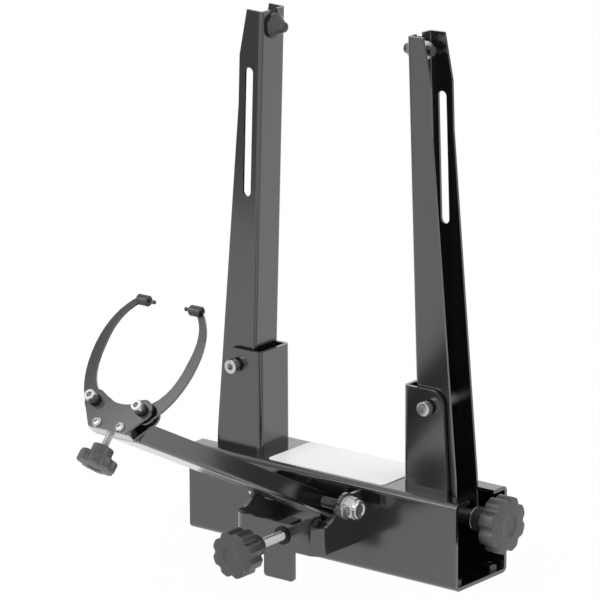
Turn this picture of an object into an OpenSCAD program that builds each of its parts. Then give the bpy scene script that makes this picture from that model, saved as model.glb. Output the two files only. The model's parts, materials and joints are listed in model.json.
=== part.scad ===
// Wheel truing stand for a bicycle workshop, in millimetres.
// X runs along the base, the calliper arm reaches towards -Y, and Z is up.
// The origin is the centre of the base's underside, where the stand meets the bench.

/* [Base] */
// Length of the base tube
base_l = 270; // [250:1:330]
// Depth of the base tube, front to back
base_d = 68; // [60:1:90]
// Height of the base tube
base_h = 72; // [68:1:90]
// Wall of the base tube
base_t = 3; // [2:0.5:4]
// Outside radius of the base tube's corners
base_r = 5; // [4:0.5:8]
// Length of the blank plate on top
label_l = 117; // [60:1:130]
// Depth of the blank plate
label_d = 56; // [30:1:58]

/* [Uprights] */
// Distance of each upright's pivot from the middle of the stand
pivot_x = 97; // [95:1:110]
// Height of the uprights' pivots above the bench
pivot_z = 142; // [130:1:160]
// Height of the uprights' tops above the bench
upright_top = 436; // [400:1:540]
// Outside width of the upright channel
upright_w = 30; // [24:1:36]
// Sheet thickness of the uprights
upright_t = 2; // [1.5:0.5:3]
// Inward lean of the uprights as photographed, in degrees
lean = 1.9; // [0:0.1:3]
// Distance from an upright's pivot to the face of its web
web_reach = 15.8; // [14:0.1:20]
// Width of the long slot
slot_w = 8; // [5:0.5:10]
// Length of the long slot, end to end
slot_l = 106; // [60:1:120]
// Height of the wheel's axle above the bench
axle_z = 423; // [390:1:520]

/* [Supports] */
// Height of a support above the base
support_h = 84; // [80:1:100]
// Sheet thickness of the supports
support_t = 3; // [2:0.5:4]
// Gap between an upright and each side of its support
support_gap = 1.25; // [0.5:0.05:2]

/* [Width spindle] */
// Height of the spindle above the bench
spindle_z = 52; // [48:1:56]
// Diameter of the spindle
spindle_dia = 10; // [8:1:12]
// Diameter of the nut barrel that rides on the spindle
barrel_dia = 16; // [15:1:18]
// Diameter of the width knob
width_knob_dia = 46; // [40:1:60]

/* [Yoke and arm] */
// Width of the yoke over its ears
yoke_w = 86; // [70:1:100]
// Reach of the yoke in front of the base
yoke_reach = 57; // [50:1:62]
// Sheet thickness of the yoke
yoke_t = 3; // [2:0.5:4]
// Height of the arm's pivot above the bench
arm_pivot_z = 58; // [56:1:64]
// Distance of the arm's pivot in front of the base
arm_pivot_out = 20; // [20:1:24]
// Diameter of the arm's pivot bolt
arm_bolt_dia = 10; // [8:1:12]
// Slope of the arm, in degrees
arm_slope = 26.9; // [20:0.1:32]
// Outside width of the arm channel
arm_w = 40; // [34:1:46]
// Depth of the arm channel
arm_h = 16.6; // [14:0.1:20]
// Sheet thickness of the arm
arm_t = 2.5; // [2:0.5:3]
// Distance from the arm's pivot to the middle of the calliper
arm_l = 259.5; // [220:0.5:290]
// Height of the adjusting screw above the bench
screw_z = 37; // [35:0.5:38]
// Distance of the adjusting screw to the right of the stand's middle
screw_x = 7; // [0:1:8]
// Diameter of the adjusting screw
screw_dia = 8; // [6:1:10]
// Diameter of the adjusting screw's knob
screw_knob_dia = 38; // [32:1:50]

/* [Calliper] */
// Angle between the arm and the calliper's plane, in degrees
calliper_fold = 75.4; // [70:0.1:90]
// Distance of each jaw's pivot from the middle
jaw_pivot_u = 23; // [22:0.5:26]
// Distance of the jaws' pivots above the calliper's lower edge
jaw_pivot_v = 20.4; // [20:0.1:24]
// Thickness of a jaw
jaw_t = 2; // [1.5:0.5:2.5]
// Height of the rim feelers above the calliper's lower edge
feeler_v = 109.5; // [100:0.5:116]
// Diameter of a rim feeler's body
feeler_dia = 8.5; // [7:0.5:10]
// Diameter of the calliper's screw
calliper_screw_dia = 6; // [5:1:8]
// Diameter of the calliper's knob
calliper_knob_dia = 31; // [26:1:40]

/* [Fits] */
// Radial clearance of a running fit
running = 0.05; // [0.02:0.01:0.09]
// Clearance between pieces that move past each other
clear = 0.3; // [0.2:0.05:0.5]

/* [Hidden] */
$fn = 48;
tiny = 0.02; // clearance of a piece that is pressed or clamped on a shaft
far = 1000;  // longer than anything that is cut

// supports and uprights
support_in = upright_w + 2 * support_gap;        // inner width of a support
support_out = support_in + 2 * support_t;
support_face = pivot_x - 25;                     // web face that looks at the wheel
support_top = base_h + support_h;
support_corner = 12;
foot_z = spindle_z - 7;                          // lower end of an upright
web_foot_z = spindle_z + 10;                     // the web stops above the spindle
upright_r = 3;
bush_r = 5.5;                                    // bush that an upright turns on
pivot_bolt_r = 4;
slot_mid_z = axle_z - 87;                        // middle of the long slot
slot_from_web = 12;
notch_w = 9;                                     // axle notch at the top of the web

// axle cones
cone_r = 10.3;
cone_l = 13;
cone_stud_r = 4;

// spindle
spindle_r = spindle_dia / 2;
barrel_r = barrel_dia / 2;
journal_r = 4;                                   // ends of the nut barrel
slot_play = 1;                                   // up and down play of the journals
bearing_w = 16;
collar_w = 5;
spindle_end = base_l / 2 - 7;                    // where the washer under the knob starts
spindle_left = pivot_x + 21;
sleeve_from = pivot_x + 17;                       // clear of the barrel nut
width_hub_l = 16.5;
width_knob_t = 15;

// yoke, arm and screw
base_face = -base_d / 2;
yoke_face = base_face - yoke_reach;
yoke_z = 25;
yoke_bend = 10;
yoke_lip_z = 47;
ear_h = arm_pivot_z + 11.4;
foot_tab_w = 30;
foot_tab_x = 3;
arm_pivot_y = base_face - arm_pivot_out;
arm_bolt_r = arm_bolt_dia / 2;
arm_bottom = -9.6;                               // web face under the pivot
arm_rear = 16;
screw_r = screw_dia / 2;
lug_offset = 12;                                 // lug face behind the arm's pivot
lug_t = 2.5;
lug_w = 18;
pad_r = screw_r;
pad_y = arm_pivot_y + lug_offset - clear - pad_r; // centre of the pad's round nose
pad_l = 3.4;
pin_r = 2;
pin_l = 6;
screw_end = pad_y - pad_l - clear;
screw_knob_y = yoke_face - 31;                   // where the knob's hub starts
screw_hub_l = 16;
screw_knob_t = 18.7;
screw_nut_t = 6.5;

// calliper layers, along its normal from the middle of the jaws
front_n = 4.5;
plate_t = 2;
back_n = -5;
spacer_r = 5.5;
jaw_bolt_r = 3;
plate_bolt_u = 11.3;
plate_bolt_v = 3.3;
plate_bolt_r = 2.5;
pivot_lobe_r = 9;
block_u = 18;
block_v = 7;
strip_t = 1.2;
tab_n = back_n - plate_t;
bend_r = 6;
calliper_screw_r = calliper_screw_dia / 2;
tail_reach = 16;                                 // pivot to the tail's round end
tail_r = 3;
tail_v = 16.8;
spreader_top = tail_v - tail_r - clear;
spreader_t = 3;
spreader_u = 8.5;
calliper_hub_v = -13;
calliper_hub_l = 8;
calliper_knob_t = 9.5;
feeler_l = 12;
feeler_u = 31;
feeler_pin_r = 2;
feeler_pin_l = 4.6;

// springs
spring_wire = 2.2;
spring_r = 8;
spring_pitch = 2.8;
// As many turns as the gap between the arm and the yoke's ear takes.
spring_room = 2;
spring_gap = yoke_w / 2 - yoke_t - arm_w / 2 - 2 * clear - spring_wire;
spring_turns = floor((spring_gap - spring_room) / spring_pitch);
jaw_spring_wire = 0.9;
jaw_spring_r = 7;
jaw_spring_turns = 2;
jaw_spring_pitch = 1.4;

// bench screws
bench_hole_r = 3;
bench_x = base_l / 2 - 8;
bench_y = base_d / 2 - 10.5;
bench_nut_h = 5;

// colours
black = [0.09, 0.09, 0.09];
plastic = [0.17, 0.17, 0.17];
steel = [0.72, 0.72, 0.72];
white = [0.94, 0.94, 0.94];

// ---------- shared shapes ----------

// A bar from x = -l to 0, with its two corners at x = 0 rounded.
module round_bar(l, w, r) {
    translate([-l, -w / 2]) square([l - r, w]);
    translate([-l, r - w / 2]) square([l, w - 2 * r]);
    for (side = [-1, 1]) translate([-r, side * (w / 2 - r)]) circle(r);
}

// The section of a folded channel: its web at x = 0, open towards -x.
module channel_section(l, w, t, r) {
    difference() {
        round_bar(l, w, r);
        translate([-t, 0]) round_bar(l, w - 2 * t, r - t);
    }
}

// A rectangle on its centre with four rounded corners.
module round_rect(l, w, r) {
    square([l - 2 * r, w], center = true);
    square([l, w - 2 * r], center = true);
    for (x = [-1, 1], y = [-1, 1]) translate([x * (l / 2 - r), y * (w / 2 - r)]) circle(r);
}

// Stands a drawing of (y, z) up in the YZ plane and makes it w thick along X.
module along_x(w) {
    rotate([90, 0, 90]) translate([0, 0, -w / 2]) linear_extrude(w) children();
}

// Stands a drawing of (x, z) up in the XZ plane and makes it w thick along Y.
module along_y(w) {
    rotate([90, 0, 0]) translate([0, 0, -w / 2]) linear_extrude(w) children();
}

// A rod from x = a to x = b.
module rod_x(a, b, r) {
    translate([a, 0, 0]) rotate([0, 90, 0]) cylinder(h = b - a, r = r);
}

// A rod from y = a to y = b.
module rod_y(a, b, r) {
    translate([0, b, 0]) rotate([90, 0, 0]) cylinder(h = b - a, r = r);
}

// A six-sided prism with rounded corners, its flats af apart, from z = 0 up.
module hexagon(af, h) {
    intersection() {
        cylinder(h = h, r = af / sqrt(3), $fn = 6);
        rotate_extrude() polygon([
            [0, 0], [af * 0.5, 0], [af * 0.578, af * 0.045],
            [af * 0.578, h - af * 0.045], [af * 0.5, h], [0, h]
        ]);
    }
}

// A lobed hand knob with its hub at z = 0 and its lobes on top, for a shaft of radius r.
module knob(dia, lobe_t, hub_l, hub_r, bore_r, bore_l, lobes = 8) {
    edge = dia * 0.05;
    rim = dia / 2;
    difference() {
        union() {
            intersection() {
                translate([0, 0, hub_l]) linear_extrude(lobe_t) difference() {
                    circle(rim);
                    for (i = [0 : lobes - 1])
                        rotate(i * 360 / lobes) translate([rim * 1.3, 0]) circle(rim * 0.42);
                }
                rotate_extrude() polygon([
                    [0, 0], [rim - edge, hub_l], [rim, hub_l + edge],
                    [rim, hub_l + lobe_t - edge], [rim - edge, hub_l + lobe_t], [0, hub_l + lobe_t]
                ]);
            }
            cylinder(h = hub_l + edge, r1 = hub_r * 0.92, r2 = hub_r);
        }
        translate([0, 0, hub_l + lobe_t - 1.2]) cylinder(h = 2, r = rim * 0.36);
        translate([0, 0, -1]) cylinder(h = bore_l + 1, r = bore_r + tiny);
    }
}

// The point at t on a curve that leaves p towards a and comes to q from b.
function curve_at(p, a, b, q, t) =
    p * pow(1 - t, 3) + 3 * a * t * pow(1 - t, 2) + 3 * b * t * t * (1 - t) + q * pow(t, 3);

// Points along that curve, in equal steps after its first point.
function curve(p, a, b, q, steps = 8) = [for (i = [1 : steps]) curve_at(p, a, b, q, i / steps)];

// Points on an arc of radius r round c, from angle from to angle to.
function arc(c, r, from, to, steps = 8) = [
    for (i = [0 : steps]) let (a = from + (to - from) * i / steps) c + r * [cos(a), sin(a)]
];

// ---------- springs ----------

// The centre line of a coil along z, whose two ends run straight on for one wire.
function coil_path(r, turns, pitch, wire, steps = 8) = concat(
    [[r, -wire, 0]],
    [for (i = [0 : turns * steps]) let (a = i * 360 / steps)
        [r * cos(a), r * sin(a), pitch * i / steps]],
    [[r, wire, pitch * turns]]
);

// One ring of six points round the path at place i.
function wire_ring(path, i, r) =
    let (
        last = len(path) - 1,
        ahead = path[min(i + 1, last)] - path[max(i - 1, 0)],
        along = ahead / norm(ahead),
        side = cross(along, [0, 0, 1]),
        across = side / norm(side),
        up = cross(across, along)
    )
    [for (k = [0 : 5]) path[i] + r * (across * cos(60 * k) + up * sin(60 * k))];

// A wire of radius r swept along a path as one closed tube.
module wire_tube(path, r) {
    last = len(path) - 1;
    points = [for (i = [0 : last], p = wire_ring(path, i, r)) p];
    sides = [for (i = [0 : last - 1], k = [0 : 5]) let (m = (k + 1) % 6) each [
        [6 * i + k, 6 * i + m, 6 * i + 6 + k],
        [6 * i + m, 6 * i + 6 + m, 6 * i + 6 + k]
    ]];
    caps = [for (k = [1 : 4]) each [[0, k + 1, k], [6 * last, 6 * last + k, 6 * last + k + 1]]];
    polyhedron(points, concat(sides, caps));
}

// The least gap between a path's own turns, for a wire of diameter wire.
function self_gap(path, wire, skip) = min([
    for (i = [0 : len(path) - 1], j = [i + skip : len(path) - 1])
        if (j < len(path)) norm(path[i] - path[j])
]) - wire;

// ---------- places ----------

// Draws the left piece, or the same piece turned half round for the right side.
module on_side(side) {
    rotate([0, 0, side == "left" ? 0 : 180]) children();
}

// The left upright's own frame: at its pivot, leaning with the upright.
module at_upright() {
    translate([-pivot_x, 0, pivot_z]) rotate([0, lean, 0]) children();
}

// The arm's frame: at its pivot, y towards its rear end and z square to its web.
module at_arm() {
    translate([0, arm_pivot_y, arm_pivot_z]) rotate([-arm_slope, 0, 0]) children();
}

// The calliper's frame: x across, y towards the feelers, z towards the front.
module at_calliper() {
    at_arm() translate([0, -arm_l, -7.4]) rotate([calliper_fold, 0, 0]) children();
}

// ---------- base ----------

module base_tube() {
    cut_from = support_face + support_t + 1;
    color(black) difference() {
        rotate([90, 0, 90]) translate([0, 0, -base_l / 2]) linear_extrude(base_l)
            translate([0, base_h / 2]) difference() {
                round_rect(base_d, base_h, base_r);
                round_rect(base_d - 2 * base_t, base_h - 2 * base_t, base_r - base_t);
            }
        for (side = [-1, 1])
            translate([side * (cut_from + far / 2), 0, base_h])
                cube([far, support_in, 3 * base_t], center = true);
        for (x = [-1, 1], y = [-1, 1])
            translate([x * bench_x, y * bench_y, -1]) cylinder(h = base_t + 2, r = bench_hole_r);
    }
}

module top_plate() {
    color(white) translate([0, 0, base_h]) linear_extrude(0.6) round_rect(label_l, label_d, 4);
}

module bench_nuts() {
    color(steel) for (x = [-1, 1], y = [-1, 1])
        translate([x * bench_x, y * bench_y, base_t]) difference() {
            hexagon(10, bench_nut_h);
            translate([0, 0, -1]) cylinder(h = bench_nut_h + 2, r = bench_hole_r);
        }
}

module support(side) {
    color(black) on_side(side) difference() {
        intersection() {
            translate([-support_face, 0, base_h]) linear_extrude(support_h)
                channel_section(far / 10, support_out, support_t, support_t + 1);
            along_y(far) polygon(concat(
                [[-support_face, support_top], [-support_face, base_h],
                    [-support_face - 43.5, base_h]],
                arc([-support_face - 39 + support_corner, support_top - support_corner],
                    support_corner, 180, 90)
            ));
        }
        translate([-pivot_x, 0, pivot_z]) rod_y(-far, far, pivot_bolt_r + tiny);
    }
}

// ---------- uprights ----------

// The outline of an upright's sides, in its own frame.
module upright_side() {
    low = foot_z - pivot_z;
    high = upright_top - pivot_z;
    polygon([
        [web_reach, low], [web_reach, high], [web_reach - 15.5, high],
        [web_reach - 22, high - 38], [web_reach - 22, high - 78],
        [web_reach - 37, base_h + 10 - pivot_z], [web_reach - 37, low + 9], [web_reach - 31, low]
    ]);
}

module upright(side) {
    axle = axle_z - pivot_z;
    color(black) on_side(side) difference() {
        at_upright() difference() {
            intersection() {
                translate([web_reach, 0, foot_z - pivot_z])
                    linear_extrude(upright_top - foot_z)
                        channel_section(60, upright_w, upright_t, upright_r);
                along_y(far) upright_side();
            }
            // the web stops above the spindle
            translate([web_reach, 0, web_foot_z - pivot_z - 50])
                cube([8, upright_w - 2 * upright_t, 100], center = true);
            // axle notch, open at the top
            translate([web_reach, 0, axle]) rotate([0, 90, 0])
                cylinder(h = 3 * upright_t, r = notch_w / 2, center = true);
            translate([web_reach, 0, axle + 50]) cube([3 * upright_t, notch_w, 100], center = true);
            // long slot in the front side only
            translate([web_reach - slot_from_web, -upright_w / 2, slot_mid_z - pivot_z]) {
                cube([slot_w, 3 * upright_t, slot_l - slot_w], center = true);
                for (end = [-1, 1]) translate([0, 0, end * (slot_l - slot_w) / 2])
                    rotate([90, 0, 0]) cylinder(h = 3 * upright_t, r = slot_w / 2, center = true);
            }
        }
        translate([-pivot_x, 0, pivot_z]) rod_y(-far, far, bush_r + running);
        // journal slots for the nut barrel
        translate([-pivot_x, 0, spindle_z]) {
            cube([2 * (journal_r + running), far, 2 * slot_play], center = true);
            for (end = [-1, 1])
                translate([0, 0, end * slot_play]) rod_y(-far, far, journal_r + running);
        }
    }
}

module pivot_bolts() {
    color(steel) for (side = [-1, 1]) translate([side * pivot_x, 0, pivot_z]) difference() {
        union() {
            rod_y(-support_out / 2, support_out / 2 + 9, pivot_bolt_r);
            rotate([90, 0, 0]) translate([0, 0, support_out / 2]) rotate_extrude()
                polygon([[0, 0], [6.5, 0], [6.5, 7.2], [5.7, 8], [0, 8]]);
        }
        translate([0, -support_out / 2 - 4, 0]) rotate([90, 0, 0]) cylinder(h = 5, r = 3.4, $fn = 6);
    }
}

module pivot_bushes() {
    color(steel) for (side = [-1, 1]) translate([side * pivot_x, 0, pivot_z]) difference() {
        rod_y(-support_in / 2, support_in / 2, bush_r);
        rod_y(-far, far, pivot_bolt_r + tiny);
    }
}

module pivot_nuts() {
    color(steel) for (side = [-1, 1])
        translate([side * pivot_x, support_out / 2, pivot_z]) difference() {
            rotate([-90, 0, 0]) hexagon(13, 6.5);
            rod_y(-1, far, pivot_bolt_r + tiny);
        }
}

module axle_cone(side) {
    color(steel) on_side(side) at_upright()
        translate([web_reach, 0, axle_z - pivot_z]) rotate([0, 90, 0]) {
            rotate_extrude() polygon(concat(
                [[0, 0], [cone_r, 0], [cone_r, 2.4]],
                curve([cone_r, 2.4], [cone_r * 0.8, 5], [4.6, 8.5], [4.2, cone_l - 2], 6),
                curve([4.2, cone_l - 2], [4, cone_l - 0.6], [3, cone_l], [0, cone_l], 4)
            ));
            translate([0, 0, -14]) cylinder(h = 14, r = cone_stud_r);
        }
}

module cone_nut(side) {
    nut_h = 6.5;
    washer_t = 1.6;
    color(steel) on_side(side) at_upright()
        translate([web_reach - upright_t, 0, axle_z - pivot_z]) rotate([0, -90, 0]) difference() {
            union() {
                cylinder(h = washer_t, r = 8);
                translate([0, 0, washer_t]) hexagon(13, nut_h);
            }
            translate([0, 0, -1]) cylinder(h = 20, r = cone_stud_r + tiny);
        }
}

// ---------- width spindle ----------

module at_spindle() {
    translate([0, 0, spindle_z]) children();
}

module width_spindle() {
    color(steel) at_spindle() rod_x(-spindle_left, spindle_end + 30, spindle_r);
}

module spindle_collars() {
    from = bearing_w / 2 + clear;
    color(steel) at_spindle() for (side = [0, 180]) rotate([0, 0, side]) difference() {
        rod_x(from, from + collar_w, spindle_r + 4);
        rod_x(0, far, spindle_r + tiny);
    }
}

module spindle_sleeve() {
    color(black) at_spindle() difference() {
        rod_x(sleeve_from, spindle_end, spindle_r + 1);
        rod_x(0, far, spindle_r + tiny);
    }
}

module spindle_washer() {
    color(steel) at_spindle() difference() {
        rod_x(spindle_end, spindle_end + 3, spindle_r + 4.5);
        rod_x(0, far, spindle_r + tiny);
    }
}

module width_knob() {
    color(plastic) at_spindle() translate([spindle_end + 3, 0, 0]) rotate([0, 90, 0])
        knob(width_knob_dia, width_knob_t, width_hub_l, 10, spindle_r, 28);
}

module spindle_bearing() {
    color(black) difference() {
        union() {
            along_x(bearing_w) union() {
                translate([0, spindle_z]) circle(12);
                translate([-12, base_t]) square([24, spindle_z - base_t]);
            }
            translate([0, 0, base_t + 1.5]) cube([48, 40, 3], center = true);
        }
        at_spindle() rod_x(-far, far, spindle_r + running);
    }
}

module barrel_nut(side) {
    half = upright_w / 2 - upright_t - clear;
    color(steel) on_side(side) translate([-pivot_x, 0, spindle_z]) difference() {
        union() {
            rod_y(-half, half, barrel_r);
            rod_y(-upright_w / 2 - 1, upright_w / 2 + 1, journal_r);
        }
        rod_x(-far, far, spindle_r + running);
    }
}

// ---------- yoke ----------

// The outline of the yoke seen from its side, as (y, z).
module yoke_side() {
    inner = 34;
    union() {
        difference() {
            translate([yoke_face, yoke_z]) square([yoke_reach, arm_pivot_z - yoke_z]);
            // the front edge sweeps up to the ears
            translate([arm_pivot_y - 29, yoke_lip_z + inner / 2 + 0.4]) circle(inner / 2);
            translate([yoke_face - 1, yoke_lip_z]) square([4, 40]);
        }
        translate([arm_pivot_y, arm_pivot_z]) circle(ear_h - arm_pivot_z);
        translate([arm_pivot_y, yoke_z + 1]) square([-arm_pivot_y + base_face, ear_h - yoke_z - 3]);
    }
}

module yoke() {
    color(black) difference() {
        union() {
            intersection() {
                translate([0, yoke_face, yoke_z]) linear_extrude(60) rotate(-90)
                    channel_section(yoke_reach, yoke_w, yoke_t, yoke_bend);
                along_x(far) yoke_side();
            }
            // foot that rests on the bench
            translate([foot_tab_x, yoke_face + yoke_t, 0]) rotate([90, 0, 0])
                linear_extrude(yoke_t) union() {
                    translate([-foot_tab_w / 2 + 3, 0]) square([foot_tab_w - 6, yoke_z + 4]);
                    translate([-foot_tab_w / 2, 3]) square([foot_tab_w, yoke_z + 1]);
                    for (s = [-1, 1]) translate([s * (foot_tab_w / 2 - 3), 3]) circle(3);
                }
            // short tab folded back from the upper edge, and a gusset in the right corner
            translate([0, yoke_face, yoke_lip_z - yoke_t]) {
                translate([1, 1, 0]) cube([11, 17, yoke_t]);
                translate([16, 1, 0]) cube([yoke_w / 2 - yoke_bend - 15, yoke_bend, yoke_t]);
                translate([16, yoke_bend - 1, 0])
                    cube([yoke_w / 2 - yoke_t - 15, 22 - yoke_bend, yoke_t]);
            }
        }
        translate([0, arm_pivot_y, arm_pivot_z]) rod_x(-far, far, arm_bolt_r + tiny);
        translate([screw_x, 0, screw_z]) rod_y(-far, base_face, screw_r + running);
    }
}

module screw_nut() {
    color(steel) translate([screw_x, yoke_face + yoke_t, screw_z]) difference() {
        rotate([-90, 0, 0]) hexagon(13, screw_nut_t);
        rod_y(-1, far, screw_r + running);
    }
}

module screw_washer() {
    color(plastic) translate([screw_x, yoke_face, screw_z]) difference() {
        rod_y(-1.2, 0, 7.5);
        rod_y(-far, far, screw_r + running);
    }
}

module arm_bolt() {
    out = yoke_w / 2 + 1.6;
    color(steel) translate([0, arm_pivot_y, arm_pivot_z]) {
        rod_x(-out, out + 10, arm_bolt_r);
        translate([-out, 0, 0]) rotate([0, -90, 0]) hexagon(17, 6.4);
    }
}

module arm_bolt_washers() {
    color(steel) translate([0, arm_pivot_y, arm_pivot_z])
        for (side = [0, 180]) rotate([0, 0, side]) difference() {
            rod_x(yoke_w / 2, yoke_w / 2 + 1.6, 10);
            rod_x(0, far, arm_bolt_r + tiny);
        }
}

module arm_bolt_nut() {
    color(steel) translate([yoke_w / 2 + 1.6, arm_pivot_y, arm_pivot_z]) rotate([0, 90, 0])
        difference() {
            union() {
                hexagon(17, 8);
                translate([0, 0, 8]) rotate_extrude()
                    polygon([[0, -1], [7.6, -1], [7.6, 2.6], [6.6, 3.8], [0, 3.8]]);
            }
            translate([0, 0, -1]) cylinder(h = 20, r = arm_bolt_r + tiny);
        }
}

// ---------- arm ----------

// The outline of the arm channel's sides, as (y, z) in the arm's frame.
module arm_side() {
    front = -arm_l + 10;
    top = arm_bottom + arm_h;
    polygon([
        [front + 5.6, arm_bottom], [arm_rear + 3, arm_bottom], [arm_rear + 3, arm_bottom + arm_t],
        [arm_rear, arm_bottom + arm_t], [arm_rear, 1], [arm_rear - 5, top],
        [front + 11, top], [front + 1.5, arm_bottom + 3]
    ]);
}

// The web's front end, folded up to carry the calliper, as (y, z) in the arm's frame.
module arm_fold() {
    turn = 180 - calliper_fold;
    // centre of the bend: bend_r inside both outer faces
    rise = arm_bottom + bend_r;
    across = (tab_n - bend_r - (rise + 7.4) * cos(calliper_fold)) / sin(calliper_fold);
    centre = [-arm_l - across, rise];
    outer = [for (a = [0 : 8]) centre + bend_r * [-sin(turn * a / 8), -cos(turn * a / 8)]];
    inner = [for (a = [8 : -1 : 0])
        centre + (bend_r - arm_t) * [-sin(turn * a / 8), -cos(turn * a / 8)]];
    polygon(concat(outer, inner));
}

module arm() {
    tab_top = 24;
    tab_low = 6;
    color(black) difference() {
        union() {
            at_arm() intersection() {
                rotate([90, 0, 0]) translate([0, 0, -40]) linear_extrude(arm_l + 40)
                    translate([0, arm_bottom]) rotate(-90)
                        channel_section(arm_h + 1, arm_w, arm_t, arm_t + 1);
                along_x(far) arm_side();
            }
            at_arm() along_x(arm_w - 2) arm_fold();
            at_calliper() translate([0, 0, tab_n - arm_t]) linear_extrude(arm_t) union() {
                translate([-arm_w / 2 + 1, tab_low]) square([arm_w - 2, 6]);
                translate([-15, tab_low]) square([30, tab_top - tab_low]);
            }
            // lug that the adjusting screw pushes
            translate([screw_x - lug_w / 2, arm_pivot_y + lug_offset, screw_z - 4.5])
                cube([lug_w, lug_t, arm_pivot_z - screw_z - 9.4]);
        }
        translate([0, arm_pivot_y, arm_pivot_z]) rod_x(-far, far, arm_bolt_r + running);
    }
}

module arm_bush() {
    half = arm_w / 2 - arm_t;
    color(steel) translate([0, arm_pivot_y, arm_pivot_z]) difference() {
        rod_x(-half, half, arm_bolt_r + 1);
        rod_x(-far, far, arm_bolt_r + running);
    }
}

module arm_spring() {
    path = coil_path(spring_r, spring_turns, spring_pitch, spring_wire);
    echo(arm_spring_gap = self_gap(path, spring_wire, 6));
    color(steel) translate([-arm_w / 2 - clear - spring_wire / 2, arm_pivot_y, arm_pivot_z])
        rotate([0, -90, 0]) wire_tube(path, spring_wire / 2);
}

module screw_pad() {
    color(steel) translate([screw_x, pad_y, screw_z]) {
        rotate([-90, 0, 0]) rotate_extrude() intersection() {
            union() {
                circle(pad_r);
                translate([0, -pad_l]) square([pad_r, pad_l]);
            }
            translate([0, -pad_l]) square([pad_r, pad_l + pad_r]);
        }
        rod_y(-pad_l - pin_l, -pad_l, pin_r);
    }
}

module arm_screw() {
    color(steel) translate([screw_x, 0, screw_z]) difference() {
        rod_y(screw_knob_y - 26, screw_end, screw_r);
        rod_y(screw_end - pin_l - 1, screw_end + 1, pin_r + running);
    }
}

module arm_screw_knob() {
    color(plastic) translate([screw_x, screw_knob_y, screw_z]) rotate([90, 0, 0])
        knob(screw_knob_dia, screw_knob_t, screw_hub_l, 8.5, screw_r, 26);
}

// ---------- calliper ----------

module plate_outline() {
    u = jaw_pivot_u;
    v = jaw_pivot_v;
    dip = [0, v + 1.4];
    polygon(concat(
        [[-18, -1], [18, -1], [22, 4.4], [u + 8.6, v - 2.8], [u, v], [u - 7, v + 5.6]],
        curve([u - 7, v + 5.6], [u - 11, v + 2.6], [8, v + 1.4], dip, 5),
        curve(dip, [-9, v + 1.4], [8 - u, v + 7.4], [1 - u, v + 8.8], 6),
        [[-u, v], [-u - 8.6, v - 2.8], [-22, 4.4]]
    ));
    for (side = [-1, 1]) translate([side * u, v]) circle(pivot_lobe_r);
}

module plate_with_holes(bolt_r) {
    linear_extrude(plate_t) difference() {
        plate_outline();
        for (side = [-1, 1]) {
            translate([side * jaw_pivot_u, jaw_pivot_v]) circle(jaw_bolt_r + tiny);
            translate([side * plate_bolt_u, plate_bolt_v]) circle(bolt_r);
        }
    }
}

module calliper_front_plate() {
    color(black) at_calliper() translate([0, 0, front_n]) plate_with_holes(plate_bolt_r + tiny);
}

module calliper_back_plate() {
    color(black) at_calliper() translate([0, 0, back_n - plate_t])
        plate_with_holes(plate_bolt_r + tiny);
}

module calliper_block() {
    color(black) at_calliper() difference() {
        translate([-block_u, 0, back_n]) cube([2 * block_u, block_v, front_n - back_n]);
        rod_y(-far, far, calliper_screw_r + running);
        for (side = [-1, 1]) translate([side * plate_bolt_u, plate_bolt_v, back_n - 1])
            cylinder(h = front_n - back_n + 2, r = plate_bolt_r + tiny);
    }
}

module calliper_strip() {
    color(steel) at_calliper() difference() {
        translate([-block_u - 1, -strip_t, back_n]) cube([2 * block_u + 2, strip_t, front_n - back_n]);
        rod_y(-far, far, calliper_screw_r + running);
    }
}

module calliper_bolts() {
    color(steel) at_calliper() for (side = [-1, 1])
        translate([side * plate_bolt_u, plate_bolt_v, front_n + plate_t]) difference() {
            union() {
                translate([0, 0, back_n - front_n - 2 * plate_t])
                    cylinder(h = front_n - back_n + 2 * plate_t, r = plate_bolt_r);
                rotate_extrude() polygon(concat(
                    [[0, 0], [4.1, 0]], curve([4.1, 0.4], [4, 1.8], [2.6, 2.6], [0, 2.6], 5)
                ));
            }
            translate([0, 0, 1]) cylinder(h = 3, r = 1.7, $fn = 6);
        }
}

module at_jaw_pivots() {
    at_calliper() for (side = [-1, 1]) translate([side * jaw_pivot_u, jaw_pivot_v, 0]) children();
}

module jaw_bolts() {
    back = back_n - plate_t;
    color(steel) at_jaw_pivots() {
        translate([0, 0, back]) cylinder(h = front_n + plate_t - back + 10.6, r = jaw_bolt_r);
        translate([0, 0, back - 4]) hexagon(10, 4);
    }
}

module jaw_bolt_collars() {
    color(plastic) at_jaw_pivots() translate([0, 0, front_n + plate_t]) difference() {
        rotate_extrude() polygon([[0, 0], [5.6, 0], [5.6, 2.2], [5, 3], [0, 3]]);
        translate([0, 0, -1]) cylinder(h = 6, r = jaw_bolt_r + tiny);
    }
}

module jaw_bolt_nuts() {
    color(steel) at_jaw_pivots() translate([0, 0, front_n + plate_t + 3]) difference() {
        union() {
            hexagon(10, 5);
            cylinder(h = 7, r = 4.3);
        }
        translate([0, 0, -1]) cylinder(h = 9, r = jaw_bolt_r + tiny);
    }
}

// Where each jaw's back lies along the calliper's normal: the left jaw is just behind the
// front plate, and the right jaw just behind the left one.
function jaw_low(side) = front_n - (side == "left" ? 1 : 2) * (clear + jaw_t);

module jaw_spacers() {
    color(steel) at_calliper() for (side = ["left", "right"])
        translate([(side == "left" ? -1 : 1) * jaw_pivot_u, jaw_pivot_v, 0]) difference() {
            union() {
                translate([0, 0, back_n])
                    cylinder(h = jaw_low(side) - clear - back_n, r = spacer_r);
                if (side == "right") translate([0, 0, front_n - jaw_t - clear + tiny])
                    cylinder(h = jaw_t + clear - tiny, r = spacer_r);
            }
            translate([0, 0, -far / 2]) cylinder(h = far, r = jaw_bolt_r + tiny);
        }
}

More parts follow.
